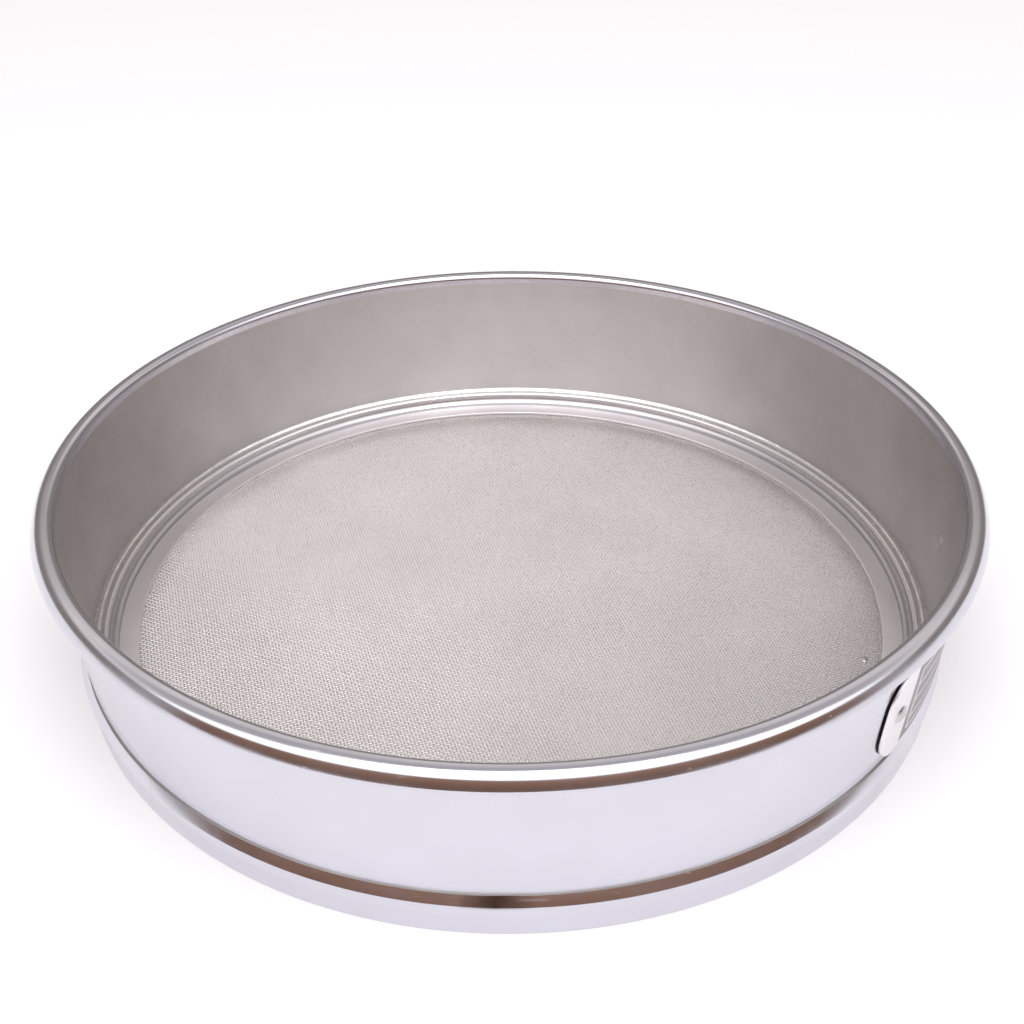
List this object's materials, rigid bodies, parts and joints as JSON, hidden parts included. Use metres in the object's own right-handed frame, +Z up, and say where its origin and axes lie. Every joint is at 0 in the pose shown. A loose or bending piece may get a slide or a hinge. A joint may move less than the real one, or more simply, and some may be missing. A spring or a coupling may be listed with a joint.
{
  "type": "test sieve",
  "caption": "Round stainless test sieve: a shallow drawn frame with rolled rim and nesting skirt holding fine woven wire cloth under a retaining ring.",
  "frame": {"origin": "centre of the skirt's bottom edge, on the surface that the sieve stands on", "axes": "+Z up along the sieve's axis, -Y towards the front, nameplate on the front right"},
  "size_m": [0.21, 0.21, 0.044],
  "materials": {
    "polished_steel": "polished",
    "wire_cloth": "bright woven wire",
    "satin_steel": "satin",
    "solder": "smooth solder",
    "plate_aluminium": "etched and lacquered",
    "rivet_aluminium": "plain"
  },
  "bodies": {
    "root": {"upper_frame": "polished_steel", "lower_skirt": "polished_steel", "wire_cloth": "wire_cloth", "retaining_ring": "satin_steel", "solder_bead": "solder", "nameplate": "plate_aluminium", "rivet_left": "rivet_aluminium", "rivet_right": "rivet_aluminium"}
  },
  "joints": []
}
